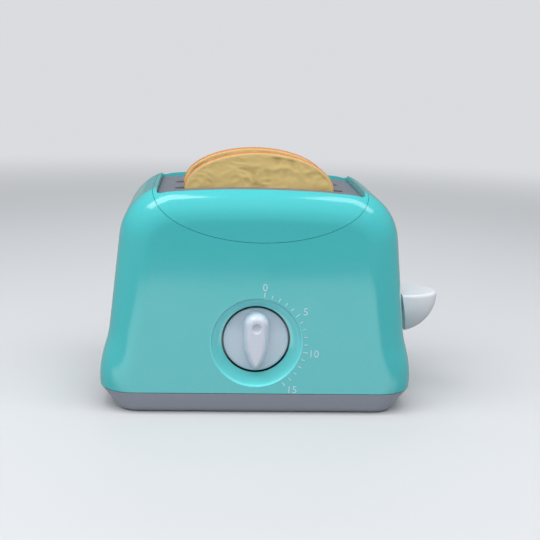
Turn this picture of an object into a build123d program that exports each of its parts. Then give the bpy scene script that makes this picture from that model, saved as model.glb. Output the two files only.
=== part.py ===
"""Toy pop-up toaster with a press-down lever, a wind-up dial and two slices of toast.

X runs along the toaster with the lever at +X, the dial faces -Y and Z is up.
The origin is the middle of the face that the base stands on.
"""

import os
from build123d import *

os.makedirs("parts", exist_ok=True)

# Housing
BODY_LENGTH = 227.0
BODY_DEPTH = 130.0
CROWN_HEIGHT = 165.0
SHOULDER_RADIUS = 40.0
EDGE_RADIUS = 25.0
DRAFT_TOP_X = 95.8
FLARE_LOW = 6.0
FLARE_WIDEST = 25.0
FLARE_BEND = (110.6, 42.5)
FLARE_END = (106.3, 62.0)
EAVE = 159.0
WALL = 2.2
SPLIT_GAP = 0.15
LIP = 1.6
COVER_LIP_OVER = 1.8
COVER_LIP_UNDER = 3.0
COVER_LIP_BITE = 0.6
COVER_LIP_DEPTH = 1.8

# Base
SEAM = 16.0
SEAM_X = 112.8
FLARE_FOOT_X = 111.3
SEAM_GAP = 0.5
FOOT_X = 98.7
FOOT_Y = 58.5
FOOT_RADIUS = 14.0
FOOT_EDGE = 6.0
FLOOR = 2.4
RIM = 3.9
COLUMN_TOP = 19.6
LIP_BOTTOM = 14.0
LIP_TOP = 19.2
BASE_HEAD = 12.0

# Saddle-shaped top cover and the insert in its window
ARCH_X = 76.5
ARCH_DROP = 37.5
ARCH_CENTRE = 163.5
ARCH_GAP = 0.3
WINDOW_X = 73.0
WINDOW_Y = 53.0
WINDOW_RADIUS = 4.0
INSERT_DROP = 6.0
INSERT_FLOOR = 152.5
INSERT_GAP = 0.25
LEDGE = 2.4
FRAME_WALL = 1.4
FRAME_TOP = 180.0

# Bread slots and slices
SLOT_X = 61.0
SLOT_WIDTH = 13.0
SLOT_Y = 16.5
SLOT_RADIUS = 4.0
WELL_RADIUS = 0.5
SLOT_EDGE = 1.2
SLICE_X = 54.5
SLICE_THICKNESS = 9.0
SLICE_TOP = 183.5
SLICE_BOTTOM = 84.0
SLICE_DOME = 27.0
SLICE_CORNER = 8.0
SLICE_ROUND = 1.6
SLICE_SHIFT = 1.2
GUIDE_BOTTOM = 88.0
GUIDE_WALL = 1.6

# Carriage, rods and lever
TRAVEL = 24.0
ROD_X = 84.0
ROD_Y = 18.0
ROD_RADIUS = 2.5
RUNNING_FIT = 0.05
SLEEVE_RADIUS = 5.5
SLEEVE_BOTTOM = 62.0
SLEEVE_TOP = 115.7
BRIDGE_BOTTOM = 116.0
BRIDGE_TOP = 121.0
BRIDGE_X = 77.0
BRIDGE_LENGTH = 31.0
BRIDGE_WIDTH = 52.0
BRIDGE_RADIUS = 4.0
ROD_TOP = 119.5
SPRING_SEAT = 6.0
SPRING_LENGTH = 56.0
SPRING_RADIUS = 4.0
SPRING_PITCH = 7.0
WIRE = 0.6
RAIL_THICKNESS = 4.0
RAIL_X = 5.0
RAIL_LENGTH = 130.0
RAIL_WIDTH = 8.0
RAIL_CORNER = 2.0
YOKE_X = 74.0
YOKE_LENGTH = 20.0
RIB_Y = 15.5
RIB_THICKNESS = 2.0
RIB_BOTTOM = 72.0
RIB_START = -50.0
RIB_BEND = 60.0
RIB_FINISH = 83.0
SLEEVE_WEB = 3.0
WEB_SHIFT = 0.5
ARM_LOW = 62.0
ARM_HIGH = 76.0
ARM_WIDTH = 6.0
ARM_FIT = 0.05
SOCKET_LENGTH = 40.0
ARM_END = 122.0
LEVER_SLOT_WIDTH = 8.0
LEVER_TOP = 79.4
LEVER_REACH = 30.6
LEVER_HALF_WIDTH = 22.0
LEVER_DEPTH = 33.0
LEVER_ROOT_X = 108.9
LEVER_LEAN = 0.206
LEVER_EDGE = 2.5
CUT_LENGTH = 40.0

# Dial
DIAL_X = -1.6
DIAL_Z = 54.0
DISH_RADIUS = 32.2
DISH_EDGE = 0.6
DISH_MIDDLE = 29.6
DISH_DEPTH = 5.9
CUP_RADIUS = 24.4
CUP_DEPTH = 9.7
CUP_FLOOR = 13.5
KNOB_RADIUS = 23.2
SHAFT_RADIUS = 3.0
TIMER_RADIUS = 24.0
TIMER_DEPTH = 16.5
TIMER_EAR = 30.5
TIMER_POST = 3.8
TIMER_LOBE = 5.3
TIMER_WALL = 1.9
TIMER_PLATE = 1.6
TIMER_FLANGE = 2.4
TIMER_PILOT = 6.0
KNOB_BACK = 12.8
KNOB_EDGE = 9.2
KNOB_CROWN = 2.5
GRIP_HEIGHT = 12.0
GRIP_TAPER = 5.0
GRIP_RISE = 10.8
GRIP_FALL = 14.6
GRIP_RADIUS = 9.5
GRIP_WAIST = 9.1
GRIP_TIP = 6.2
GRIP_EDGE = 3.8
DIMPLE_RADIUS = 4.4
DIMPLE_LIFT = 2.6

# Latch
LATCH_X = -68.5
LATCH_Z = 32.0
LATCH_WIDTH = 6.8
LATCH_ARM = 3.0
LATCH_EYE = 4.0
LATCH_NOSE = 7.4
LATCH_NOSE_LOW = 30.0
LATCH_NOSE_HIGH = 36.0
LATCH_GAP = 0.3
PIN_RADIUS = 1.5
PEDESTAL_CHEEK = 3.5
PEDESTAL_LENGTH = 10.0
PEDESTAL_TOP = 37.0
PEDESTAL_FORK = 10.0

# Fasteners
SCREW_RADIUS = 1.4
PILOT_RADIUS = 1.45
HEAD_RADIUS = 2.9
HEAD_HEIGHT = 1.8
CROSS_LENGTH = 3.4
CROSS_WIDTH = 0.8
CROSS_DEPTH = 1.1
HEAD_BORE = 3.4
WELL_FLOOR = 8.0
POST_RADIUS = 4.8
POST_HEIGHT = 16.0
POST_WEB = 16.0
WEB_THICKNESS = 4.0
SCREW_BITE = 12.0
PILOT_SPARE = 2.0
CLEAR_RADIUS = 1.6

# Places that follow from the dimensions above
SIDE_DRAFT = (FLARE_END[0] - DRAFT_TOP_X) / (EAVE - FLARE_END[1])
FRONT = -BODY_DEPTH / 2
BACK = BODY_DEPTH / 2
CUP_BACK = FRONT + CUP_FLOOR + WALL
TIMER_BACK = CUP_BACK + TIMER_DEPTH
TIMER_BORE = TIMER_RADIUS - TIMER_WALL
KNOB_TOP = KNOB_EDGE - KNOB_CROWN
SHAFT_END = FRONT + KNOB_EDGE - 6
LATCH_Y = -SLOT_Y
LATCH_BACK = LATCH_Y + LATCH_WIDTH / 2
PEDESTAL_WIDTH = LATCH_WIDTH + 2 * PEDESTAL_CHEEK
PIN_FRONT = LATCH_Y - PEDESTAL_WIDTH / 2
PIN_BACK = LATCH_Y + PEDESTAL_WIDTH / 2
LEDGE_BOTTOM = INSERT_FLOOR - LEDGE
RAIL_BOTTOM = SLICE_BOTTOM - RAIL_THICKNESS
LEDGE_X = WINDOW_X - LEDGE
LEDGE_Y = WINDOW_Y - LEDGE
FRAME_X = WINDOW_X + FRAME_WALL
FRAME_Y = WINDOW_Y + FRAME_WALL
INSERT_X = WINDOW_X - INSERT_GAP
INSERT_Y = WINDOW_Y - INSERT_GAP
ROD_BORE = ROD_RADIUS + RUNNING_FIT
SHAFT_BORE = SHAFT_RADIUS + RUNNING_FIT
GUIDE_HEAD = INSERT_FLOOR - GUIDE_WALL
GUIDE_X = LEDGE_X - ARCH_GAP
GUIDE_Y = LEDGE_Y - ARCH_GAP
SLICE_SHOULDER = SLICE_TOP - SLICE_DOME
LEVER_SLOT_LOW = ARM_LOW - TRAVEL - 1
LEVER_SLOT_HIGH = ARM_HIGH + 1
LIP_X = SEAM_X - WALL - 0.2
LIP_Y = BACK - WALL - 0.2
ROD_PLACES = [(ROD_X, -ROD_Y), (ROD_X, ROD_Y)]
SHELL_POSTS = [(-100, 26), (100, 26), (-86, 137), (86, 137)]
BASE_POSTS = [(-72, -50), (72, -50), (-72, 50), (72, 50)]
DIAL_AXIS = (DIAL_X, DIAL_Z)
GUIDE_SCREWS = [(-44, 0), (0, 0), (44, 0)]


def finish(body, name):
    """Label one finished piece and write it."""
    body.label = name
    export_step(body, f"parts/{name}.step")


def housing_form(inset, bottom=SEAM):
    """The flared and crowned outer form of the housing, shrunk evenly by inset."""
    with BuildPart() as form:
        with BuildSketch(Plane.XZ) as outline:
            with BuildLine():
                flare = Spline(
                    (FLARE_FOOT_X - inset, FLARE_LOW),
                    (BODY_LENGTH / 2 - inset, FLARE_WIDEST),
                    (FLARE_BEND[0] - inset, FLARE_BEND[1]),
                    (FLARE_END[0] - inset, FLARE_END[1]),
                    tangents=[(0.25, 1), (-SIDE_DRAFT, 1)],
                )
                eave = (DRAFT_TOP_X - inset, EAVE - inset)
                side = Line(flare @ 1, eave)
                crown = ThreePointArc(side @ 1, (0, CROWN_HEIGHT - inset), (-eave[0], eave[1]))
                Line(crown @ 1, (inset - FLARE_END[0], FLARE_END[1]))
                mirror(flare, about=Plane.YZ)
                Line((inset - FLARE_FOOT_X, FLARE_LOW), flare @ 0)
            make_face()
            shoulders = outline.vertices().group_by(Axis.Y)[-1]
            fillet(shoulders, SHOULDER_RADIUS - inset)
        extrude(amount=BODY_DEPTH / 2 - inset, both=True)
        rims = form.faces().filter_by(Axis.Y).edges()
        rims = [edge for edge in rims if edge.center().Z > FLARE_LOW + 1]
        fillet(rims, EDGE_RADIUS - inset)
        split(bisect_by=Plane.XY.offset(bottom), keep=Keep.TOP)
    return form.part


def arch(grow):
    """The elliptical barrel along Y that cuts the saddle out of the housing."""
    with BuildPart() as barrel:
        with BuildSketch(Plane.XZ):
            with Locations((0, ARCH_CENTRE)):
                Ellipse(ARCH_X + grow, ARCH_DROP + grow)
        extrude(amount=BODY_DEPTH, both=True)
    return barrel.part


def pegs_along_y(places, radius, start, end):
    """Round pegs along Y at the given X and Z, from one Y back to a smaller one."""
    with BuildPart() as pegs:
        with BuildSketch(Plane.XZ.offset(-start)):
            with Locations(*places):
                Circle(radius)
        extrude(amount=start - end)
    return pegs.part


def pegs_along_z(places, radius, start, end):
    """Round pegs along Z at the given X and Y, between two heights."""
    with BuildPart() as pegs:
        with BuildSketch(Plane.XY.offset(start)):
            with Locations(*places):
                Circle(radius)
        extrude(amount=end - start)
    return pegs.part


def screws_along_y(places, seat, tip):
    """Cross-recessed screws with their heads towards +Y, seated at one Y and ending at a smaller one."""
    with BuildPart() as screws:
        add(pegs_along_y(places, HEAD_RADIUS, seat + HEAD_HEIGHT, seat))
        add(pegs_along_y(places, SCREW_RADIUS, seat, tip))
        with Locations(*[(x, seat + HEAD_HEIGHT, z) for x, z in places]):
            Box(CROSS_LENGTH, CROSS_DEPTH * 2, CROSS_WIDTH, mode=Mode.SUBTRACT)
            Box(CROSS_WIDTH, CROSS_DEPTH * 2, CROSS_LENGTH, mode=Mode.SUBTRACT)
    return screws.part


def screws_along_z(places, seat, tip):
    """Cross-recessed screws with their heads towards -Z, seated at one height and ending above it."""
    with BuildPart() as screws:
        add(pegs_along_z(places, HEAD_RADIUS, seat - HEAD_HEIGHT, seat))
        add(pegs_along_z(places, SCREW_RADIUS, seat, tip))
        with Locations(*[(x, y, seat - HEAD_HEIGHT) for x, y in places]):
            Box(CROSS_LENGTH, CROSS_WIDTH, CROSS_DEPTH * 2, mode=Mode.SUBTRACT)
            Box(CROSS_WIDTH, CROSS_LENGTH, CROSS_DEPTH * 2, mode=Mode.SUBTRACT)
    return screws.part


def within_housing(body):
    """The piece trimmed to the middle of the housing's wall."""
    with BuildPart() as trimmed:
        add(body)
        add(wall_middle, mode=Mode.INTERSECT)
    return trimmed.part


def rounded_block(length, width, radius, bottom, top, centre=(0, 0)):
    """An upright block with rounded corners."""
    with BuildPart() as block:
        with BuildSketch(Plane.XY.offset(bottom)):
            with Locations(centre):
                RectangleRounded(length, width, radius)
        extrude(amount=top - bottom)
    return block.part


def bread_slots(grow, radius, bottom, top):
    """The two bread slots as upright blocks, grown evenly by grow."""
    with BuildPart() as slots:
        with BuildSketch(Plane.XY.offset(bottom)):
            with Locations((0, -SLOT_Y), (0, SLOT_Y)):
                RectangleRounded(2 * (SLOT_X + grow), SLOT_WIDTH + 2 * grow, radius)
        extrude(amount=top - bottom)
    return slots.part


def base_form(inset, bottom, top):
    """The tapered hull of the base, from its footprint up to the seam."""
    with BuildPart() as hull:
        with BuildSketch(Plane.XY.offset(bottom)):
            RectangleRounded(2 * (FOOT_X - inset), 2 * (FOOT_Y - inset), FOOT_RADIUS - inset)
        with BuildSketch(Plane.XY.offset(top)):
            RectangleRounded(2 * (SEAM_X - inset), BODY_DEPTH - 2 * inset, EDGE_RADIUS - inset)
        loft(ruled=True)
        fillet(hull.faces().sort_by(Axis.Z)[0].edges(), FOOT_EDGE - inset)
    return hull.part


def base_post_blocks(side):
    """Blocks on one long wall, tapped from below for the screws of the base."""
    with BuildPart() as blocks:
        with BuildSketch(Plane.XY.offset(COLUMN_TOP)):
            with Locations(*[(x, y) for x, y in BASE_POSTS if y * side > 0]):
                Circle(POST_RADIUS)
                with Locations((0, side * POST_WEB / 2)):
                    Rectangle(WEB_THICKNESS, POST_WEB)
        extrude(amount=POST_HEIGHT)
    return within_housing(blocks.part)


def dial_section(points_in, arc, points_out):
    """A solid turned about the dial's axis from a stepped line with one arc in it."""
    with BuildPart() as turned:
        with BuildSketch(Plane((DIAL_X, FRONT, DIAL_Z), x_dir=(1, 0, 0), z_dir=(0, 0, 1))):
            with BuildLine():
                Polyline(*points_in, arc[0])
                ThreePointArc(*arc)
                Polyline(arc[-1], *points_out, points_in[0])
            make_face()
        revolve(axis=Axis((DIAL_X, FRONT, DIAL_Z), (0, 1, 0)))
    return turned.part


outer = housing_form(0, SEAM + SEAM_GAP)
inner = housing_form(WALL, SEAM - 5)
wall_middle = housing_form(WALL / 2, SEAM)
timer_ears = PolarLocations(TIMER_EAR, 3, 90).locations
timer_places = [(ear.position.X, ear.position.Y) for ear in timer_ears]
timer_places = [(DIAL_X + x, DIAL_Z + z) for x, z in timer_places]

frame_block = rounded_block(
    2 * FRAME_X, 2 * FRAME_Y, WINDOW_RADIUS + FRAME_WALL, LEDGE_BOTTOM, FRAME_TOP
)
frame_space = rounded_block(
    2 * (FRAME_X + ARCH_GAP), 2 * (FRAME_Y + ARCH_GAP), WINDOW_RADIUS, LEDGE_BOTTOM - 1, FRAME_TOP
)

# The lip that the top cover lies on, just inside the edge of the arched opening.
with BuildPart() as cover_lip:
    add(housing_form(WALL - COVER_LIP_BITE, SEAM))
    add(housing_form(WALL + COVER_LIP_DEPTH, SEAM), mode=Mode.SUBTRACT)
    add(arch(COVER_LIP_UNDER), mode=Mode.INTERSECT)
    add(arch(-COVER_LIP_OVER), mode=Mode.SUBTRACT)
    add(frame_space, mode=Mode.SUBTRACT)

with BuildPart() as cover_space:
    add(outer)
    add(inner, mode=Mode.SUBTRACT)
    add(arch(ARCH_GAP), mode=Mode.INTERSECT)

with BuildPart() as housing_skin:
    add(outer)
    add(inner, mode=Mode.SUBTRACT)
    add(cover_lip.part)
    add(cover_space.part, mode=Mode.SUBTRACT)
    with Locations((BODY_LENGTH / 2, 0, (LEVER_SLOT_LOW + LEVER_SLOT_HIGH) / 2)):
        Box(CUT_LENGTH, LEVER_SLOT_WIDTH, LEVER_SLOT_HIGH - LEVER_SLOT_LOW, mode=Mode.SUBTRACT)

# Front half of the housing, with the dished dial recess and the cup behind it.
dial_cup = dial_section(
    [(0, 1), (DISH_RADIUS + WALL, 1)],
    [(DISH_RADIUS + WALL, 1.5), (DISH_MIDDLE + WALL, DISH_DEPTH + 1.7), (CUP_RADIUS + WALL, CUP_DEPTH + WALL)],
    [(CUP_RADIUS + WALL, CUP_FLOOR + WALL), (0, CUP_FLOOR + WALL)],
)
dial_dish = dial_section(
    [(0, -1), (DISH_RADIUS, -1)],
    [(DISH_RADIUS, 0), (DISH_MIDDLE, DISH_DEPTH), (CUP_RADIUS, CUP_DEPTH)],
    [(CUP_RADIUS, CUP_FLOOR), (0, CUP_FLOOR)],
)
with BuildPart() as front_shell:
    add(housing_skin.part)
    split(bisect_by=Plane.XZ.offset(SPLIT_GAP / 2), keep=Keep.TOP)
    add(within_housing(pegs_along_y(SHELL_POSTS, POST_RADIUS, 0, FRONT)))
    add(base_post_blocks(-1))
    add(pegs_along_y(timer_places, TIMER_POST, CUP_BACK, FRONT + WALL / 2))
    add(dial_cup)
    add(dial_dish, mode=Mode.SUBTRACT)
    add(pegs_along_y([DIAL_AXIS], SHAFT_RADIUS + 0.5, CUP_BACK + 1, FRONT), mode=Mode.SUBTRACT)
    add(pegs_along_y(SHELL_POSTS, PILOT_RADIUS, 1, -SCREW_BITE - PILOT_SPARE), mode=Mode.SUBTRACT)
    add(pegs_along_y(timer_places, PILOT_RADIUS, CUP_BACK + 1, CUP_BACK - TIMER_PILOT), mode=Mode.SUBTRACT)
    add(pegs_along_z(BASE_POSTS, PILOT_RADIUS, COLUMN_TOP - 1, COLUMN_TOP + SCREW_BITE), mode=Mode.SUBTRACT)
    rim = front_shell.edges().filter_by(GeomType.CIRCLE)
    rim = rim.filter_by(lambda edge: abs(edge.radius - DISH_RADIUS) < 0.01)
    fillet(rim.sort_by(Axis.Y)[0], DISH_EDGE)
finish(front_shell.part, "front_shell")

# Rear half of the housing, with its screw wells opening at the back.
with BuildPart() as rear_shell:
    add(housing_skin.part)
    split(bisect_by=Plane.XZ.offset(-SPLIT_GAP / 2), keep=Keep.BOTTOM)
    add(within_housing(pegs_along_y(SHELL_POSTS, POST_RADIUS, BACK, 0)))
    add(base_post_blocks(1))
    add(pegs_along_y(SHELL_POSTS, HEAD_BORE, BACK + 1, WELL_FLOOR), mode=Mode.SUBTRACT)
    add(pegs_along_y(SHELL_POSTS, CLEAR_RADIUS, WELL_FLOOR + 1, -1), mode=Mode.SUBTRACT)
    add(pegs_along_z(BASE_POSTS, PILOT_RADIUS, COLUMN_TOP - 1, COLUMN_TOP + SCREW_BITE), mode=Mode.SUBTRACT)
finish(rear_shell.part, "rear_shell")

with BuildPart() as shell_screws:
    add(screws_along_y(SHELL_POSTS, WELL_FLOOR, -SCREW_BITE))
finish(shell_screws.part, "shell_screws")

# Saddle-shaped cover: a skin across the top with a framed window for the insert.
with BuildPart() as top_cover:
    add(outer)
    add(inner, mode=Mode.SUBTRACT)
    add(arch(0), mode=Mode.INTERSECT)
    add(within_housing(frame_block))
    add(rounded_block(2 * WINDOW_X, 2 * WINDOW_Y, WINDOW_RADIUS, INSERT_FLOOR, FRAME_TOP), mode=Mode.SUBTRACT)
    add(rounded_block(2 * LEDGE_X, 2 * LEDGE_Y, WINDOW_RADIUS, LEDGE_BOTTOM - 1, FRAME_TOP), mode=Mode.SUBTRACT)
finish(top_cover.part, "top_cover")

# Crowned insert with the two slots, lying a little below the rim of the window.
with BuildPart() as slot_insert:
    add(
        rounded_block(
            2 * INSERT_X, 2 * INSERT_Y, WINDOW_RADIUS - INSERT_GAP, INSERT_FLOOR, FRAME_TOP
        )
    )
    with BuildSketch(Plane.XZ):
        with BuildLine():
            crown = ThreePointArc(
                (-DRAFT_TOP_X, EAVE - INSERT_DROP),
                (0, CROWN_HEIGHT - INSERT_DROP),
                (DRAFT_TOP_X, EAVE - INSERT_DROP),
            )
            Polyline(
                crown @ 1,
                (DRAFT_TOP_X, INSERT_FLOOR - 1),
                (-DRAFT_TOP_X, INSERT_FLOOR - 1),
                crown @ 0,
            )
        make_face()
    extrude(amount=BODY_DEPTH / 2, both=True, mode=Mode.INTERSECT)
    add(bread_slots(0, SLOT_RADIUS, INSERT_FLOOR - 1, FRAME_TOP), mode=Mode.SUBTRACT)
    add(pegs_along_z(GUIDE_SCREWS, PILOT_RADIUS, INSERT_FLOOR - 1, INSERT_FLOOR + 4), mode=Mode.SUBTRACT)
    lips = slot_insert.faces().filter_by(GeomType.CYLINDER).sort_by(Axis.Z)[-1].inner_wires()
    fillet([edge for lip in lips for edge in lip.edges()], SLOT_EDGE)
finish(slot_insert.part, "slot_insert")

# Wells that guide the bread, hung under the insert, with the bridge that holds the rods.
with BuildPart() as bread_guide:
    add(rounded_block(2 * GUIDE_X, 2 * GUIDE_Y, WINDOW_RADIUS, GUIDE_HEAD, INSERT_FLOOR))
    add(bread_slots(GUIDE_WALL, GUIDE_WALL + WELL_RADIUS, GUIDE_BOTTOM, INSERT_FLOOR))
    add(rounded_block(BRIDGE_LENGTH, BRIDGE_WIDTH, BRIDGE_RADIUS, BRIDGE_BOTTOM, BRIDGE_TOP, (BRIDGE_X, 0)))
    add(bread_slots(0, WELL_RADIUS, GUIDE_BOTTOM - 1, INSERT_FLOOR + 1), mode=Mode.SUBTRACT)
    add(pegs_along_z(GUIDE_SCREWS, CLEAR_RADIUS, INSERT_FLOOR - 3, INSERT_FLOOR + 1), mode=Mode.SUBTRACT)
    add(pegs_along_z(ROD_PLACES, ROD_BORE, BRIDGE_BOTTOM - 1, ROD_TOP), mode=Mode.SUBTRACT)
finish(bread_guide.part, "bread_guide")

with BuildPart() as guide_screws:
    add(screws_along_z(GUIDE_SCREWS, GUIDE_HEAD, INSERT_FLOOR + 3.5))
finish(guide_screws.part, "guide_screws")

# Hollow base with a locating lip, screw columns, rod sockets and the latch's pedestal.
with BuildPart() as base_tray:
    add(base_form(0, 0, SEAM))
    add(base_form(RIM, FLOOR, SEAM + 0.01), mode=Mode.SUBTRACT)
    add(rounded_block(2 * LIP_X, 2 * LIP_Y, EDGE_RADIUS - WALL, LIP_BOTTOM, LIP_TOP))
    lip_inside = rounded_block(
        2 * (LIP_X - LIP), 2 * (LIP_Y - LIP), EDGE_RADIUS - WALL - LIP, LIP_BOTTOM, LIP_TOP + 1
    )
    add(lip_inside, mode=Mode.SUBTRACT)
    add(pegs_along_z(BASE_POSTS, POST_RADIUS, FLOOR / 2, COLUMN_TOP))
    add(pegs_along_z(ROD_PLACES, SLEEVE_RADIUS, FLOOR / 2, SPRING_SEAT))
    add(rounded_block(PEDESTAL_LENGTH, PEDESTAL_WIDTH, 1, FLOOR / 2, PEDESTAL_TOP, (LATCH_X, LATCH_Y)))
    with Locations((LATCH_X, LATCH_Y, PEDESTAL_TOP)):
        Box(PEDESTAL_LENGTH + 1, LATCH_WIDTH + 2 * LATCH_GAP, PEDESTAL_FORK * 2, mode=Mode.SUBTRACT)
    add(pegs_along_y([(LATCH_X, LATCH_Z)], PIN_RADIUS, PIN_BACK + 1, PIN_FRONT - 1), mode=Mode.SUBTRACT)
    add(pegs_along_z(BASE_POSTS, HEAD_BORE, -1, BASE_HEAD), mode=Mode.SUBTRACT)
    add(pegs_along_z(BASE_POSTS, CLEAR_RADIUS, BASE_HEAD - 1, COLUMN_TOP + 1), mode=Mode.SUBTRACT)
    add(pegs_along_z(ROD_PLACES, ROD_BORE, FLOOR, SPRING_SEAT + 1), mode=Mode.SUBTRACT)
finish(base_tray.part, "base_tray")

with BuildPart() as base_screws:
    add(screws_along_z(BASE_POSTS, BASE_HEAD, COLUMN_TOP + SCREW_BITE - PILOT_SPARE))
finish(base_screws.part, "base_screws")

with BuildPart() as guide_rods:
    add(pegs_along_z(ROD_PLACES, ROD_RADIUS, FLOOR, ROD_TOP))
finish(guide_rods.part, "guide_rods")

# Slices with a domed top; both are the same moulding, the rear one a little off the middle of its slot.
for name, x, y in (("toast_front", 0, -SLOT_Y), ("toast_rear", -SLICE_SHIFT, SLOT_Y)):
    with BuildPart() as slice_of_toast:
        with BuildSketch(Plane(origin=(x, y, 0), x_dir=(1, 0, 0), z_dir=(0, -1, 0))) as outline:
            with BuildLine():
                dome = EllipticalCenterArc((0, SLICE_SHOULDER), SLICE_X, SLICE_DOME, 0, arc_size=180)
                Polyline(
                    dome @ 1,
                    (-SLICE_X, SLICE_BOTTOM),
                    (SLICE_X, SLICE_BOTTOM),
                    dome @ 0,
                )
            make_face()
            fillet(outline.vertices().group_by(Axis.Y)[0], SLICE_CORNER)
        extrude(amount=SLICE_THICKNESS / 2, both=True)
        fillet(slice_of_toast.faces().filter_by(Axis.Y).edges(), SLICE_ROUND)
    finish(slice_of_toast.part, name)

# Carriage: two rails under the bread, sleeves on the rods and the arm to the lever.
with BuildPart() as carriage:
    with BuildSketch(Plane.XY.offset(RAIL_BOTTOM)):
        with Locations((RAIL_X, -SLOT_Y), (RAIL_X, SLOT_Y)):
            RectangleRounded(RAIL_LENGTH, RAIL_WIDTH, RAIL_CORNER)
        with Locations((YOKE_X, 0)):
            RectangleRounded(YOKE_LENGTH, 2 * SLOT_Y + RAIL_WIDTH, RAIL_CORNER)
    extrude(amount=RAIL_THICKNESS)
    with BuildSketch(Plane.XZ):
        Polygon(
            (RIB_START, RAIL_BOTTOM + 1),
            (RIB_BEND, RIB_BOTTOM),
            (RIB_FINISH, RIB_BOTTOM),
            (RIB_FINISH, RAIL_BOTTOM + 1),
            align=None,
        )
    extrude(amount=RIB_Y + RIB_THICKNESS, both=True)
    with Locations((0, 0, RAIL_BOTTOM - RIB_Y / 2)):
        Box(BODY_LENGTH, 2 * RIB_Y, RIB_Y, mode=Mode.SUBTRACT)
    with Locations((ROD_X - WEB_SHIFT, 0, (SLEEVE_BOTTOM + SLEEVE_TOP) / 2)):
        Box(SLEEVE_WEB, 2 * ROD_Y, SLEEVE_TOP - SLEEVE_BOTTOM)
    add(pegs_along_z(ROD_PLACES, SLEEVE_RADIUS, SLEEVE_BOTTOM, SLEEVE_TOP))
    with Locations(((ROD_X + ARM_END) / 2, 0, (ARM_LOW + ARM_HIGH) / 2)):
        Box(ARM_END - ROD_X, ARM_WIDTH, ARM_HIGH - ARM_LOW)
    add(pegs_along_z(ROD_PLACES, ROD_BORE, SLEEVE_BOTTOM - 1, SLEEVE_TOP + 1), mode=Mode.SUBTRACT)
finish(carriage.part, "carriage")

# Scoop-shaped lever: a bowl under a flat top, cut by a plane that leans to clear the flare.
with BuildPart() as bowl:
    with BuildSketch(Plane.XZ):
        with BuildLine():
            Polyline((0, -LEVER_DEPTH), (0, 0), (LEVER_REACH - LEVER_EDGE, 0))
            RadiusArc((LEVER_REACH - LEVER_EDGE, 0), (LEVER_REACH, -LEVER_EDGE), LEVER_EDGE)
            EllipticalCenterArc((0, -LEVER_EDGE), LEVER_REACH, LEVER_DEPTH - LEVER_EDGE, 270, arc_size=90)
        make_face()
    revolve(axis=Axis.Z)
scoop = scale(bowl.part, by=(1, LEVER_HALF_WIDTH / LEVER_REACH, 1), mode=Mode.PRIVATE)
with BuildPart() as lever_knob:
    with Locations((LEVER_ROOT_X, 0, LEVER_TOP)):
        add(scoop)
    with BuildSketch(Plane.XZ):
        with BuildLine():
            Polyline(
                (LEVER_ROOT_X, LEVER_TOP + 1),
                (LEVER_ROOT_X + CUT_LENGTH, LEVER_TOP + 1),
                (LEVER_ROOT_X + CUT_LENGTH, LEVER_TOP - CUT_LENGTH),
                (LEVER_ROOT_X + CUT_LENGTH * LEVER_LEAN, LEVER_TOP - CUT_LENGTH),
                (LEVER_ROOT_X, LEVER_TOP + 1),
            )
        make_face()
    extrude(amount=LEVER_HALF_WIDTH + 1, both=True, mode=Mode.INTERSECT)
    with Locations((ARM_END + ARM_FIT - SOCKET_LENGTH / 2, 0, (ARM_LOW + ARM_HIGH) / 2)):
        Box(SOCKET_LENGTH, ARM_WIDTH + 2 * ARM_FIT, ARM_HIGH - ARM_LOW + 2 * ARM_FIT, mode=Mode.SUBTRACT)
finish(lever_knob.part, "lever_knob")

# One coil spring round each rod, pressing the carriage up.
with BuildPart() as return_springs:
    for x, y in ROD_PLACES:
        with BuildLine():
            coil = Helix(SPRING_PITCH, SPRING_LENGTH - 2 * WIRE, SPRING_RADIUS, (x, y, SPRING_SEAT + WIRE))
        with BuildSketch(Plane(coil @ 0, z_dir=coil % 0)):
            Circle(WIRE)
        sweep(path=coil)
finish(return_springs.part, "return_springs")

# Latch hook on a steel pin, standing clear of the tab that it catches.
with BuildPart() as latch_hook:
    with BuildSketch(Plane.XZ.offset(-LATCH_BACK)):
        with BuildLine():
            Polyline(
                (LATCH_X + LATCH_ARM, LATCH_Z),
                (LATCH_X + LATCH_ARM, LATCH_Z + LATCH_NOSE_LOW),
                (LATCH_X + LATCH_NOSE, LATCH_Z + LATCH_NOSE_LOW),
                (LATCH_X + LATCH_ARM, LATCH_Z + LATCH_NOSE_HIGH),
                (LATCH_X - LATCH_ARM + 1, LATCH_Z + LATCH_NOSE_HIGH),
                (LATCH_X - LATCH_ARM, LATCH_Z),
                (LATCH_X + LATCH_ARM, LATCH_Z),
            )
        make_face()
        with Locations((LATCH_X, LATCH_Z)):
            Circle(LATCH_EYE)
            Circle(PIN_RADIUS + RUNNING_FIT, mode=Mode.SUBTRACT)
    extrude(amount=LATCH_WIDTH)
finish(latch_hook.part, "latch_hook")

with BuildPart() as latch_pin:
    add(pegs_along_y([(LATCH_X, LATCH_Z)], PIN_RADIUS, PIN_BACK, PIN_FRONT))
finish(latch_pin.part, "latch_pin")

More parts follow.
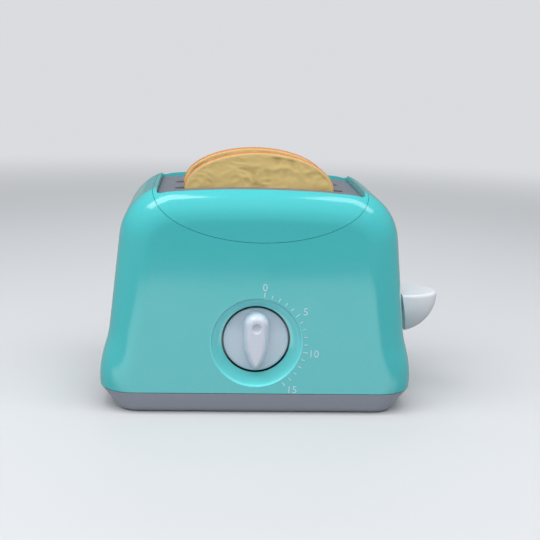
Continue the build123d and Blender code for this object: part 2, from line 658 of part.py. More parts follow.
# Dial knob: a crowned disc with a raised teardrop grip.
with BuildPart() as dial_knob:
    add(
        dial_section(
            [(0, KNOB_BACK), (KNOB_RADIUS, KNOB_BACK)],
            [(KNOB_RADIUS, KNOB_EDGE), (KNOB_RADIUS / 2, KNOB_TOP + KNOB_CROWN / 4), (0, KNOB_TOP)],
            [],
        )
    )
    with BuildSketch(Plane.XZ.offset(-FRONT - KNOB_EDGE)):
        with Locations((DIAL_X, DIAL_Z)):
            Circle(GRIP_WAIST)
        with Locations((DIAL_X, DIAL_Z + GRIP_RISE)):
            Circle(GRIP_RADIUS)
        with Locations((DIAL_X, DIAL_Z - GRIP_FALL)):
            Circle(GRIP_TIP)
        make_hull(mode=Mode.REPLACE)
    extrude(amount=GRIP_HEIGHT, taper=GRIP_TAPER)
    fillet(dial_knob.faces().sort_by(Axis.Y)[0].edges(), GRIP_EDGE)
    add(pegs_along_y([DIAL_AXIS], SHAFT_BORE, FRONT + KNOB_BACK + 1, SHAFT_END), mode=Mode.SUBTRACT)
    with Locations((DIAL_X, FRONT + KNOB_EDGE - GRIP_HEIGHT - DIMPLE_LIFT, DIAL_Z + GRIP_RISE)):
        Sphere(DIMPLE_RADIUS, mode=Mode.SUBTRACT)
finish(dial_knob.part, "dial_knob")

with BuildPart() as timer_shaft:
    add(pegs_along_y([DIAL_AXIS], SHAFT_RADIUS, TIMER_BACK + 2.5, SHAFT_END))
finish(timer_shaft.part, "timer_shaft")

# Clockwork case screwed behind the dial cup, and its cover plate.
with BuildPart() as timer_case:
    add(pegs_along_y([DIAL_AXIS], TIMER_RADIUS, TIMER_BACK, CUP_BACK))
    add(pegs_along_y([DIAL_AXIS], TIMER_BORE, TIMER_BACK + 1, CUP_BACK + TIMER_WALL), mode=Mode.SUBTRACT)
    with BuildSketch(Plane.XZ.offset(-CUP_BACK)):
        with Locations(*timer_places):
            Circle(TIMER_POST)
        with Locations(DIAL_AXIS):
            with PolarLocations(TIMER_RADIUS, 3, 90):
                Circle(TIMER_LOBE)
        with Locations(DIAL_AXIS):
            Circle(TIMER_RADIUS - 1, mode=Mode.SUBTRACT)
    extrude(amount=-TIMER_FLANGE)
    add(pegs_along_y([DIAL_AXIS], SHAFT_BORE, TIMER_BACK, CUP_BACK - 1), mode=Mode.SUBTRACT)
    add(pegs_along_y(timer_places, CLEAR_RADIUS, CUP_BACK + 4, CUP_BACK - 1), mode=Mode.SUBTRACT)
finish(timer_case.part, "timer_case")

with BuildPart() as timer_cover:
    add(pegs_along_y([DIAL_AXIS], TIMER_RADIUS, TIMER_BACK + TIMER_PLATE, TIMER_BACK))
    add(pegs_along_y([DIAL_AXIS], SHAFT_BORE, TIMER_BACK + 3, TIMER_BACK - 1), mode=Mode.SUBTRACT)
finish(timer_cover.part, "timer_cover")

with BuildPart() as timer_screws:
    add(screws_along_y(timer_places, CUP_BACK + TIMER_FLANGE, CUP_BACK - TIMER_PILOT + 1))
finish(timer_screws.part, "timer_screws")
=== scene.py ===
import math
import bmesh
import bpy
import numpy as np
from mathutils import Matrix, Vector


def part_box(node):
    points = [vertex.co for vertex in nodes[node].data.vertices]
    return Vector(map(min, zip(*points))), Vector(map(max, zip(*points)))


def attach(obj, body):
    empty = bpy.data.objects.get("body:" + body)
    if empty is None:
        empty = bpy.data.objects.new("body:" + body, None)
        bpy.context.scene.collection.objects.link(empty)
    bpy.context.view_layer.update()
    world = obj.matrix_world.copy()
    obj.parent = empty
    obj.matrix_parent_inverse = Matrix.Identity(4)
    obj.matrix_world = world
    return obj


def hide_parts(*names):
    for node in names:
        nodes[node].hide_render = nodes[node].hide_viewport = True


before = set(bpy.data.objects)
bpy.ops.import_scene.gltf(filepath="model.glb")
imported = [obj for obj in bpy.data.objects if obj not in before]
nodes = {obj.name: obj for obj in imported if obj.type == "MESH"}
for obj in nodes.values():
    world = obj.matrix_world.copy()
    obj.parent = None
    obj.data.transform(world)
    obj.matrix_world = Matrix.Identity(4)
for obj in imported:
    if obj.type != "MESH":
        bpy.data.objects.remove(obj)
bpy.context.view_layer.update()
mm = 0.001  # one millimetre in the frame's metres
print("stage 1: frame loaded,", len(nodes), "nodes")


def placedAxes(right, up, back, place):
    # The matrix whose columns are three axes and the place.
    return Matrix([*zip(right, up, back, place), (0, 0, 0, 1)])


cameraView = {
    "azimuth": -3.73,
    "elevation": 12.73,
    "roll": 1.69,
    "distance": 0.773,
    "target": (0.01050, -0.005, 0.0899),
    "lens": 68.2,
    "sensor": 36,
    "shiftY": 0.0091,
    "clipStart": 0.01,
}


def makeCamera(view):
    # Forward = (-sin a cos e, cos a cos e, -sin e), then right and up turn about it by the roll.
    a = math.radians(view["azimuth"])
    e = math.radians(view["elevation"])
    r = math.radians(view["roll"])
    forward = Vector((-math.sin(a) * math.cos(e), math.cos(a) * math.cos(e), -math.sin(e)))
    right = Vector((math.cos(a), math.sin(a), 0))
    up = right.cross(forward)
    turnedRight = right * math.cos(r) + up * math.sin(r)
    turnedUp = up * math.cos(r) - right * math.sin(r)
    data = bpy.data.cameras.new("toasterCamera")
    data.lens = view["lens"]
    data.sensor_width = view["sensor"]
    data.shift_y = view["shiftY"]
    data.clip_start = view["clipStart"]
    camera = bpy.data.objects.new("toasterCamera", data)
    place = Vector(view["target"]) - forward * view["distance"]
    camera.matrix_world = placedAxes(turnedRight, turnedUp, -forward, place)
    bpy.context.scene.collection.objects.link(camera)
    bpy.context.scene.camera = camera


makeCamera(cameraView)
print("stage 2: camera placed")


# Node helpers: a value that is a socket is joined to the input, any other is set on it.
def addNode(tree, kind, settings=None, inputs=None):
    node = tree.nodes.new(kind)
    for key, value in (settings or {}).items():
        setattr(node, key, value)
    for key, value in (inputs or {}).items():
        if isinstance(value, bpy.types.NodeSocket):
            tree.links.new(value, node.inputs[key])
        else:
            node.inputs[key].default_value = value
    return node


def calculate(tree, operation, *values):
    return addNode(tree, "ShaderNodeMath", {"operation": operation}, dict(enumerate(values))).outputs["Value"]


def vectorMath(tree, operation, *values):
    return addNode(tree, "ShaderNodeVectorMath", {"operation": operation}, dict(enumerate(values))).outputs


def mapRange(tree, value, span, onto=(0.0, 1.0), smooth=False):
    settings = {"interpolation_type": "SMOOTHSTEP"} if smooth else {}
    inputs = {"Value": value, "From Min": span[0], "From Max": span[1], "To Min": onto[0], "To Max": onto[1]}
    return addNode(tree, "ShaderNodeMapRange", settings, inputs).outputs["Result"]


def mixColour(tree, factor, first, second):
    inputs = {"Factor": factor, "A": first, "B": second}
    return addNode(tree, "ShaderNodeMix", {"data_type": "RGBA"}, inputs).outputs["Result"]


def mixShader(tree, factor, first, second):
    return addNode(tree, "ShaderNodeMixShader", inputs={"Fac": factor, 1: first, 2: second}).outputs["Shader"]


def noise(tree, vector, scale, detail, **more):
    inputs = {"Vector": vector, "Scale": scale, "Detail": detail, **more}
    return addNode(tree, "ShaderNodeTexNoise", inputs=inputs).outputs["Fac"]


def bump(tree, height, strength, distance, **more):
    inputs = {"Height": height, "Strength": strength, "Distance": distance, **more}
    return addNode(tree, "ShaderNodeBump", inputs=inputs).outputs["Normal"]


def glow(tree, colour, strength=1.0):
    inputs = {"Color": colour, "Strength": strength}
    return addNode(tree, "ShaderNodeEmission", inputs=inputs).outputs["Emission"]


def backdrop(tree, colour, strength=1.0):
    inputs = {"Color": colour, "Strength": strength}
    return addNode(tree, "ShaderNodeBackground", inputs=inputs).outputs["Background"]


def principled(tree, inputs):
    return addNode(tree, "ShaderNodeBsdfPrincipled", inputs=inputs).outputs["BSDF"]


def startMaterial(name):
    material = bpy.data.materials.new(name)
    material.use_nodes = True
    tree = material.node_tree
    tree.nodes.clear()
    return material, tree, addNode(tree, "ShaderNodeTexCoord").outputs["Object"]


def endMaterial(tree, surface):
    addNode(tree, "ShaderNodeOutputMaterial", inputs={"Surface": surface})


noiseSpan = (0.3, 0.7)  # nearly all of a noise texture's values lie in it
mergeDistance = 1e-7  # points nearer than this are made one
shortestEdge = 1e-8  # edges shorter than this are taken out


# Mesh helpers: faces between points, a new piece, even steps, and a merge that turns faces outwards.
def gridFaces(rows, columns, wrapColumns=False):
    # Quads of a rows x columns grid of points: (i, j), (i, j+1), (i+1, j+1), (i+1, j).
    i, j = np.meshgrid(np.arange(rows - 1), np.arange(columns if wrapColumns else columns - 1), indexing="ij")
    i, j = i.ravel(), j.ravel()
    k = (j + 1) % columns
    return np.stack([i * columns + j, i * columns + k, (i + 1) * columns + k, (i + 1) * columns + j], -1)


def fanFaces(start, count, hub):
    # Triangles from each edge of the ring of points that begins at start to its hub.
    ring = np.arange(count)
    return np.stack([start + ring, start + np.roll(ring, -1), np.full(count, hub)], -1)


def meshPiece(name, points, faces, material=None, smooth=True, attributes=None):
    mesh = bpy.data.meshes.new(name)
    corners = [[int(i) for i in face] for face in faces]
    mesh.from_pydata(np.asarray(points, float).tolist(), [], corners)
    mesh.polygons.foreach_set("use_smooth", np.full(len(mesh.polygons), smooth))
    for key, values in (attributes or {}).items():
        layer = mesh.attributes.new(key, "FLOAT", "POINT")
        layer.data.foreach_set("value", np.asarray(values, np.float32))
    mesh.update()
    if material:
        mesh.materials.append(material)
    piece = bpy.data.objects.new(name, mesh)
    bpy.context.scene.collection.objects.link(piece)
    return piece


def evenSteps(line, count, closed=False):
    # Rows of a line at even steps of its length, which its first two columns give.
    length = np.concatenate([[0], np.cumsum(np.linalg.norm(np.diff(line[:, :2], axis=0), axis=1))])
    at = np.linspace(0, length[-1], count, endpoint=not closed)
    return np.stack([np.interp(at, length, column) for column in line.T], -1)


def smoothStep(f):
    # The weight 3f^2 - 2f^3, which starts and ends level.
    return f * f * (3 - 2 * f)


def tidyMesh(piece):
    work = bmesh.new()
    work.from_mesh(piece.data)
    bmesh.ops.remove_doubles(work, verts=work.verts, dist=mergeDistance)
    bmesh.ops.dissolve_degenerate(work, edges=work.edges, dist=shortestEdge)
    bmesh.ops.recalc_face_normals(work, faces=work.faces)
    work.to_mesh(piece.data)
    work.free()


floorLook = {
    "radii": (0.05, 9.0), "rings": 24, "around": 96, "drop": 0.0002,
    "colour": (0.52, 0.53, 0.545, 1), "bounceColour": (0.30, 0.305, 0.32, 1),
    "farColour": (0.70, 0.715, 0.735, 1), "fade": (0.75, 1.7), "roughness": 0.9, "specular": 0.1,
    "grainScale": 900.0, "grainStrength": 0.15, "grainDepth": 0.0001,
}
mirroredTable = {
    "colour": (0.96, 0.98, 1.0, 1), "strength": 1.8,
    "roomColour": (0.17, 0.19, 0.20, 1), "sideColour": (0.34, 0.37, 0.38, 1),
    "start": (0.065, 0.12), "edge": (0.45, 0.57), "waveScale": 7.0, "wave": 0.12,
    "middle": -0.06, "side": (0.17, 0.26), "spread": 0.22,
}


def floorMesh(look):
    # A flat disc as rings of growing radius: x = r cos t, y = r sin t, z just under the base.
    radii = np.geomspace(*look["radii"], look["rings"])
    turns = np.linspace(0, 2 * np.pi, look["around"], endpoint=False)
    r, t = np.meshgrid(radii, turns, indexing="ij")
    points = np.stack([r * np.cos(t), r * np.sin(t), np.full_like(r, -look["drop"])], -1).reshape(-1, 3)
    hub = len(points)
    points = np.concatenate([points, [[0, 0, -look["drop"]]]])
    quads = gridFaces(look["rings"], look["around"], wrapColumns=True)
    return meshPiece("floor", points, list(quads) + list(fanFaces(0, look["around"], hub)), smooth=False)


def mirrorShader(tree, place, look):
    # In a reflection the table is a bright wedge in front of the toaster that ends where the room begins.
    # Its far edge waves a little: reach = -y + wave (noise - 0.5).
    # Its sides lie at |x - middle| = side + spread (-y), and it starts a little way in front of the base.
    part = addNode(tree, "ShaderNodeSeparateXYZ", inputs={"Vector": place}).outputs
    swell = noise(tree, place, look["waveScale"], 1.0)
    wave = mapRange(tree, swell, (0.0, 1.0), (-look["wave"] / 2, look["wave"] / 2))
    beyond = mapRange(tree, calculate(tree, "SUBTRACT", wave, part["Y"]), look["edge"], smooth=True)
    off = calculate(tree, "ABSOLUTE", calculate(tree, "SUBTRACT", part["X"], look["middle"]))
    widened = calculate(tree, "MULTIPLY_ADD", part["Y"], look["spread"], off)
    aside = mapRange(tree, widened, look["side"], smooth=True)
    forward = calculate(tree, "MULTIPLY", part["Y"], -1.0)
    close = mapRange(tree, forward, look["start"], (1.0, 0.0), smooth=True)
    table = glow(tree, look["colour"], look["strength"])
    ahead = mixShader(tree, beyond, table, glow(tree, look["roomColour"]))
    return mixShader(tree, calculate(tree, "MAXIMUM", aside, close), ahead, glow(tree, look["sideColour"]))


def makeFloor(look, mirrorLook):
    floor = floorMesh(look)
    material, tree, place = startMaterial("floorPaper")
    grain = noise(tree, place, look["grainScale"], 3.0)
    paper = principled(tree, {
        "Base Color": look["colour"], "Roughness": look["roughness"], "Specular IOR Level": look["specular"],
        "Normal": bump(tree, grain, look["grainStrength"], look["grainDepth"]),
    })
    # Far from the toaster the paper takes the background's own tone, so there is no horizon line.
    fade = mapRange(tree, vectorMath(tree, "LENGTH", place)["Value"], look["fade"], smooth=True)
    faded = mixShader(tree, fade, paper, glow(tree, look["farColour"]))
    # The light that it throws back up is that of a darker table.
    bounce = addNode(tree, "ShaderNodeBsdfDiffuse", inputs={"Color": look["bounceColour"]}).outputs["BSDF"]
    rays = addNode(tree, "ShaderNodeLightPath").outputs
    seen = mixShader(tree, rays["Is Camera Ray"], bounce, faded)
    endMaterial(tree, mixShader(tree, rays["Is Glossy Ray"], seen, mirrorShader(tree, place, mirrorLook)))
    floor.data.materials.append(material)


worldLook = {
    "lightColour": (0.93, 0.965, 1.0, 1), "lightStrength": 0.42,
    "mirrorColour": (0.24, 0.25, 0.26, 1), "farColour": floorLook["farColour"],
}


def makeWorld(look):
    world = bpy.data.worlds.new("softRoom")
    world.use_nodes = True
    tree = world.node_tree
    tree.nodes.clear()
    rays = addNode(tree, "ShaderNodeLightPath").outputs
    light = backdrop(tree, look["lightColour"], look["lightStrength"])
    unseen = mixShader(tree, rays["Is Glossy Ray"], light, backdrop(tree, look["mirrorColour"]))
    whole = mixShader(tree, rays["Is Camera Ray"], unseen, backdrop(tree, look["farColour"]))
    addNode(tree, "ShaderNodeOutputWorld", inputs={"Surface": whole})
    bpy.context.scene.world = world


# Turn is the angle of a lamp's long side about the upright axis, in degrees; some lamps show in reflections.
lampTable = {
    "overhead": {"place": (-0.10, -0.65, 1.15), "size": (2.2, 1.2), "turn": 0, "watts": 19.5, "shows": False},
    "leftTube": {"place": (-0.44, -0.22, 1.0), "size": (0.72, 0.36), "turn": 18, "watts": 3.2, "shows": True},
    "rightTube": {"place": (0.50, -0.22, 1.0), "size": (0.72, 0.3), "turn": -18, "watts": 2.1, "shows": True},
    "leftWall": {"place": (-1.15, -0.35, 0.45), "size": (0.7, 0.8), "turn": 90, "watts": 1.5, "shows": False},
    "rightWall": {"place": (1.15, -0.10, 0.50), "size": (0.6, 0.8), "turn": 90, "watts": 1.1, "shows": False},
    "behind": {"place": (0.1, 0.95, 0.8), "size": (0.8, 0.4), "turn": 0, "watts": 3.0, "shows": False},
}
lampAim = Vector((0, 0, 0.10))


def makeLamps(table, aim):
    # Each lamp faces the toaster; its long side lies as near to its turned level line as that allows.
    for name, row in table.items():
        data = bpy.data.lights.new(name, "AREA")
        data.shape = "RECTANGLE"
        data.size, data.size_y = row["size"]
        data.energy = row["watts"]
        lamp = bpy.data.objects.new(name, data)
        place, turn = Vector(row["place"]), math.radians(row["turn"])
        back = (place - aim).normalized()
        level = Vector((math.cos(turn), math.sin(turn), 0))
        along = (level - back * level.dot(back)).normalized()
        lamp.matrix_world = placedAxes(along, back.cross(along), back, place)
        lamp.visible_glossy = row["shows"]
        bpy.context.scene.collection.objects.link(lamp)


makeFloor(floorLook, mirroredTable)
makeWorld(worldLook)
makeLamps(lampTable, lampAim)
print("stage 3: floor, world and lamps ready")

housingPlastic = {
    "colour": (0.060, 0.470, 0.485, 1), "second": (0.054, 0.452, 0.470, 1), "flowScale": 14.0,
    "roughness": (0.13, 0.18), "grainScale": 1500.0, "grainDepth": 0.000002,
    "peelScale": 55.0, "peelDepth": 0.00007, "coat": 0.45, "coatRoughness": 0.04,
    # Painted light round the dial: a lighter dish that grows lighter towards its top, a painted shadow in the
    # gap by the knob, and a painted highlight on the dish's lip.
    "dial": {
        "centre": (-0.0016, 0, 0.054), "depth": (-0.02, -0.04),
        "dish": (0.0325, 0.0316), "dishHeight": (0.036, 0.082),
        "dishPaintedGlow": (0.120, 0.585, 0.595, 1), "dishTopPaintedLight": (0.270, 0.920, 0.930, 1),
        "gap": (0.0249, 0.0244), "gapPaintedShadow": (0.004, 0.030, 0.036, 1),
        "lipRadius": 0.0321, "lipWidth": 0.0009, "lipPaintedHighlight": (0.175, 0.710, 0.720, 1),
    },
}
insertPlastic = {
    "colour": (0.150, 0.160, 0.190, 1), "second": (0.135, 0.145, 0.174, 1), "flowScale": 20.0,
    "roughness": (0.30, 0.40), "grainScale": 1300.0, "grainDepth": 0.00001,
    "peelScale": 70.0, "peelDepth": 0.00005, "coat": 0.05, "coatRoughness": 0.2,
}
basePlastic = {
    "colour": (0.360, 0.385, 0.445, 1), "second": (0.335, 0.360, 0.418, 1), "flowScale": 18.0,
    "roughness": (0.34, 0.46), "grainScale": 1200.0, "grainDepth": 0.00003,
    "peelScale": 60.0, "peelDepth": 0.00006, "coat": 0.08, "coatRoughness": 0.2,
}
innerGreyPlastic = {
    "colour": (0.085, 0.09, 0.105, 1), "second": (0.07, 0.075, 0.09, 1), "flowScale": 25.0,
    "roughness": (0.42, 0.55), "grainScale": 1000.0, "grainDepth": 0.00003,
    "peelScale": 60.0, "peelDepth": 0.00005, "coat": 0.0, "coatRoughness": 0.3,
}
innerWhitePlastic = {
    "colour": (0.70, 0.70, 0.67, 1), "second": (0.66, 0.66, 0.63, 1), "flowScale": 25.0,
    "roughness": (0.36, 0.48), "grainScale": 1000.0, "grainDepth": 0.00003,
    "peelScale": 60.0, "peelDepth": 0.00005, "coat": 0.0, "coatRoughness": 0.3,
}
leverPlastic = {
    "colour": (0.78, 0.80, 0.84, 1), "second": (0.74, 0.765, 0.81, 1), "flowScale": 35.0,
    "roughness": (0.20, 0.28), "grainScale": 1600.0, "grainDepth": 0.00001,
    "peelScale": 80.0, "peelDepth": 0.00008, "coat": 0.3, "coatRoughness": 0.08,
}
knobPlastic = {
    "colour": (0.53, 0.61, 0.70, 1), "second": (0.51, 0.585, 0.68, 1), "flowScale": 40.0,
    # Painted shade: where the grip rises it takes a darker, pinker tone than the disc.
    "gripPaintedShade": (0.55, 0.585, 0.67, 1),
    "roughness": (0.20, 0.28), "grainScale": 1600.0, "grainDepth": 0.00001,
    "peelScale": 90.0, "peelDepth": 0.00006, "coat": 0.3, "coatRoughness": 0.08,
}
timerPlastic = {
    "colour": (0.76, 0.75, 0.70, 1), "second": (0.72, 0.71, 0.66, 1), "flowScale": 40.0,
    "roughness": (0.38, 0.5), "grainScale": 1000.0, "grainDepth": 0.00003,
    "peelScale": 70.0, "peelDepth": 0.00005, "coat": 0.0, "coatRoughness": 0.3,
}


def dialPaintedLight(tree, place, colour, look):
    # By radius from the dial's axis: painted light makes the dish a lighter, clearer tone, lighter still
    # towards its top, the gap beside the knob gets a painted shadow, and the dish's lip gets a painted
    # highlight in a thin ring, where |radius - lip| is under its width.
    away = vectorMath(tree, "SUBTRACT", place, look["centre"])["Vector"]
    flat = vectorMath(tree, "MULTIPLY", away, (1, 0, 1))["Vector"]
    radius = vectorMath(tree, "LENGTH", flat)["Value"]
    part = addNode(tree, "ShaderNodeSeparateXYZ", inputs={"Vector": place}).outputs
    front = mapRange(tree, part["Y"], look["depth"])
    height = mapRange(tree, part["Z"], look["dishHeight"], smooth=True)
    dishPaintedTone = mixColour(tree, height, look["dishPaintedGlow"], look["dishTopPaintedLight"])
    offLip = calculate(tree, "ABSOLUTE", calculate(tree, "SUBTRACT", radius, look["lipRadius"]))
    rings = (
        (mapRange(tree, radius, look["dish"], smooth=True), dishPaintedTone),
        (mapRange(tree, radius, look["gap"], smooth=True), look["gapPaintedShadow"]),
        (mapRange(tree, offLip, (look["lipWidth"], 0.0), smooth=True), look["lipPaintedHighlight"]),
    )
    for within, tone in rings:
        colour = mixColour(tree, calculate(tree, "MULTIPLY", within, front), colour, tone)
    return colour


plasticTexture = {"flowBend": 0.8, "freckle": (0.97, 1.03), "bump": 0.5, "peelRoughness": 0.4, "ior": 1.5}


def plasticMaterial(name, look, texture):
    # Flow lines tint the colour, a fine grain freckles it, and a slow peel waves the gloss and the surface.
    material, tree, place = startMaterial(name)
    flow = noise(tree, place, look["flowScale"], 3.0, Distortion=texture["flowBend"])
    colour = mixColour(tree, flow, look["colour"], look["second"])
    # Round the dial the housing's colour carries painted light and shade: a glowing dish, a shadowed gap and
    # a highlighted lip.
    if "dial" in look:
        colour = dialPaintedLight(tree, place, colour, look["dial"])
    # Painted shade on the knob: by the mesh's gripLift, the raised grip takes a darker, pinker tone than the
    # disc.
    if "gripPaintedShade" in look:
        lift = addNode(tree, "ShaderNodeAttribute", {"attribute_name": "gripLift"}).outputs["Fac"]
        colour = mixColour(tree, lift, colour, look["gripPaintedShade"])
    grain = noise(tree, place, look["grainScale"], 2.0)
    peel = noise(tree, place, look["peelScale"], 2.0, Roughness=texture["peelRoughness"])
    freckled = {"Color": colour, "Value": mapRange(tree, grain, noiseSpan, texture["freckle"])}
    wave = bump(tree, peel, texture["bump"], look["peelDepth"])
    endMaterial(tree, principled(tree, {
        "Base Color": addNode(tree, "ShaderNodeHueSaturation", inputs=freckled).outputs["Color"],
        "Roughness": mapRange(tree, peel, noiseSpan, look["roughness"]),
        "Normal": bump(tree, grain, texture["bump"], look["grainDepth"], Normal=wave),
        "IOR": texture["ior"], "Coat Weight": look["coat"], "Coat Roughness": look["coatRoughness"],
    }))
    return material


brightSteel = {
    "colour": (0.62, 0.63, 0.65), "roughness": (0.2, 0.38), "lines": (30, 30, 900), "depth": 0.00001,
}
springSteel = {
    "colour": (0.48, 0.49, 0.52), "roughness": (0.24, 0.42), "lines": (400, 400, 400), "depth": 0.00001,
}
screwSteel = {
    "colour": (0.52, 0.53, 0.56), "roughness": (0.28, 0.5), "lines": (600, 600, 600), "depth": 0.00002,
}
steelWear = {"bump": 0.4, "tarnishScale": 160.0, "tarnishTone": 0.8}


def steelMaterial(name, look, wear):
    # Drawn lines are a noise with its own scale along each axis; tarnish darkens the colour in patches.
    material, tree, place = startMaterial(name)
    stretched = addNode(tree, "ShaderNodeMapping", inputs={"Vector": place, "Scale": look["lines"]})
    lines = noise(tree, stretched.outputs["Vector"], 1.0, 4.0)
    tarnish = noise(tree, place, wear["tarnishScale"], 3.0)
    dull = [wear["tarnishTone"] * share for share in look["colour"]]
    endMaterial(tree, principled(tree, {
        "Base Color": mixColour(tree, tarnish, (*look["colour"], 1), (*dull, 1)),
        "Roughness": mapRange(tree, lines, noiseSpan, look["roughness"]),
        "Normal": bump(tree, lines, wear["bump"], look["depth"]), "Metallic": 1.0,
    }))
    return material


toastPlastic = {
    # Painted shade: the rounding's edge tone is darker than the crumb to offset the light it catches, and the
    # hollow tone darkens the relief's low places.
    "crumb": (0.63, 0.465, 0.185, 1), "hollowPaintedShade": (0.40, 0.255, 0.085, 1), "edge": (0.58, 0.40, 0.165, 1),
    "crust": (0.55, 0.205, 0.062, 1), "roughness": (0.30, 0.44),
    "crustEdge": (0.25, 0.75), "roundingShadeSpan": (0.9, 1.7), "hollowShadeHeight": (0.62, 0.22),
    "blotchScale": 90.0, "blotchBend": 0.6, "poreScale": 1100.0, "poreStrength": 0.35, "poreDepth": 0.00006,
}


def toastMaterial(look):
    # Orange up to the rim's rounding; on the rounding a painted shade, a tone darker than the crumb set
    # against the light it catches so that it shows as a pale line; tan crumb that painted shade darkens in
    # its hollows.
    material, tree, place = startMaterial("toastPaint")
    height = addNode(tree, "ShaderNodeAttribute", {"attribute_name": "crumbHeight"}).outputs["Fac"]
    reach = addNode(tree, "ShaderNodeAttribute", {"attribute_name": "rimReach"}).outputs["Fac"]
    blotch = noise(tree, place, look["blotchScale"], 4.0, Distortion=look["blotchBend"])
    # Painted shade: the crumb darkens towards the relief's hollows, in noisy patches.
    depth = mapRange(tree, height, look["hollowShadeHeight"], smooth=True)
    crumb = mixColour(tree, calculate(tree, "MULTIPLY", depth, blotch), look["crumb"], look["hollowPaintedShade"])
    # Painted shade on the rim's rounding: a darker copy of the crumb's tan, set against the light that the
    # rounding catches.
    face = mixColour(tree, mapRange(tree, reach, look["roundingShadeSpan"], smooth=True), look["edge"], crumb)
    inward = mapRange(tree, reach, look["crustEdge"], smooth=True)
    pores = noise(tree, place, look["poreScale"], 3.0)
    endMaterial(tree, principled(tree, {
        "Base Color": mixColour(tree, inward, look["crust"], face),
        "Roughness": mapRange(tree, blotch, noiseSpan, look["roughness"]),
        "Normal": bump(tree, pores, look["poreStrength"], look["poreDepth"]),
    }))
    return material


printInk = {
    "colour": (0.50, 0.68, 0.72, 1), "worn": (0.42, 0.64, 0.68, 1),
    "wearScale": 1200.0, "roughness": (0.32, 0.45),
}


def inkMaterial(look):
    material, tree, place = startMaterial("scaleInk")
    wear = noise(tree, place, look["wearScale"], 3.0)
    endMaterial(tree, principled(tree, {
        "Base Color": mixColour(tree, wear, look["colour"], look["worn"]),
        "Roughness": mapRange(tree, wear, (0.0, 1.0), look["roughness"]),
    }))
    return material


plastics = {
    "turquoise": ("turquoisePlastic", housingPlastic), "insert_grey": ("insertPlastic", insertPlastic),
    "base_grey": ("basePlastic", basePlastic), "inner_grey": ("innerGreyPlastic", innerGreyPlastic),
    "inner_white": ("innerWhitePlastic", innerWhitePlastic), "lever_white": ("leverPlastic", leverPlastic),
    "knob_lilac": ("knobPlastic", knobPlastic), "timer_white": ("timerPlastic", timerPlastic),
}
steels = {
    "timer_steel": ("timerSteel", brightSteel), "steel": ("rodSteel", brightSteel),
    "spring_steel": ("springSteel", springSteel), "screw_steel": ("screwSteel", screwSteel),
}
finishes = {}
for slot, (name, look) in plastics.items():
    finishes[slot] = plasticMaterial(name, look, plasticTexture)
for slot, (name, look) in steels.items():
    finishes[slot] = steelMaterial(name, look, steelWear)
toastPaint = toastMaterial(toastPlastic)
scaleInk = inkMaterial(printInk)
print("stage 4: materials made")

nodeFinish = {
    "front_shell": "turquoise", "rear_shell": "turquoise", "top_cover": "turquoise",
    "slot_insert": "insert_grey", "bread_guide": "inner_grey", "base_tray": "base_grey",
    "carriage": "inner_white", "latch_hook": "inner_white", "lever_knob": "lever_white",
    "dial_knob": "knob_lilac", "timer_case": "timer_white", "timer_cover": "timer_steel",
    "timer_shaft": "steel", "guide_rods": "steel", "latch_pin": "steel",
    "return_springs": "spring_steel", "shell_screws": "screw_steel", "base_screws": "screw_steel",
    "guide_screws": "screw_steel", "timer_screws": "screw_steel",
}


def dressNodes(table):
    for name, finish in table.items():
        for materialSlot in nodes[name].material_slots:
            materialSlot.material = finishes[finish]


dressNodes(nodeFinish)
print("stage 5: nodes dressed")

# Lengths of the slices, the knob and the printed scale are in millimetres.
toastShape = {
    "dome": 27.0, "corner": 8.0, "round": 1.6, "rimWidth": 4.2, "bandStart": 2.0, "bandWidth": 1.6,
    "step": 0.30, "lumpDepth": 1.25, "proudest": 0.1,
    "around": 420, "rings": 60, "domeSteps": 400, "cornerSteps": 40, "rimSteps": 8,
    "seeds": {"toast_front": 11, "toast_rear": 29},
}
crumbFolds = {
    "bend": 9.0, "bendCell": 15.0, "lift": 6.0, "liftCell": 9.0,
    "broadCell": 11.0, "broadStretch": 1.5, "smallCell": 6.0, "smallStretch": 1.3,
    "swellCell": 17.0, "fineCell": 2.6, "shares": (0.42, 0.27, 0.21, 0.10),
}
latticeSize = 96
latticeStart = (40.0, 3.0)  # cells, so that a place left of or below the origin still falls on the lattice


def valueNoise(x, z, cell, seed):
    # Smooth noise: random heights on a lattice, blended by the smooth step in both directions.
    lattice = np.random.default_rng(seed).random((latticeSize + 1, latticeSize + 1))
    u, v = x / cell + latticeStart[0], z / cell + latticeStart[1]
    i, j = np.floor(u).astype(int), np.floor(v).astype(int)
    f, g = smoothStep(u - i), smoothStep(v - j)
    i, j = i % latticeSize, j % latticeSize
    low = lattice[i, j] * (1 - f) + lattice[i + 1, j] * f
    high = lattice[i, j + 1] * (1 - f) + lattice[i + 1, j + 1] * f
    return low * (1 - g) + high * g


def crumbLumps(x, z, seed, folds):
    # Folded crumb: soft ridges where a bent noise passes its middle, 1 - |2n - 1|, over a slow swell.
    bend = folds["bend"] * (valueNoise(x, z, folds["bendCell"], seed + 5) - 0.5)
    lift = folds["lift"] * (valueNoise(x, z, folds["liftCell"], seed + 6) - 0.5)
    bentZ, liftedZ = (z + bend) * folds["smallStretch"], (z - lift) * folds["broadStretch"]
    broad = 1 - np.abs(2 * valueNoise(x + bend, liftedZ, folds["broadCell"], seed) - 1)
    small = 1 - np.abs(2 * valueNoise(x - lift, bentZ, folds["smallCell"], seed + 1) - 1)
    swell = valueNoise(x, z, folds["swellCell"], seed + 3)
    fine = valueNoise(x + lift, z, folds["fineCell"], seed + 2)
    return sum(share * layer for share, layer in zip(folds["shares"], (broad, small, swell, fine)))


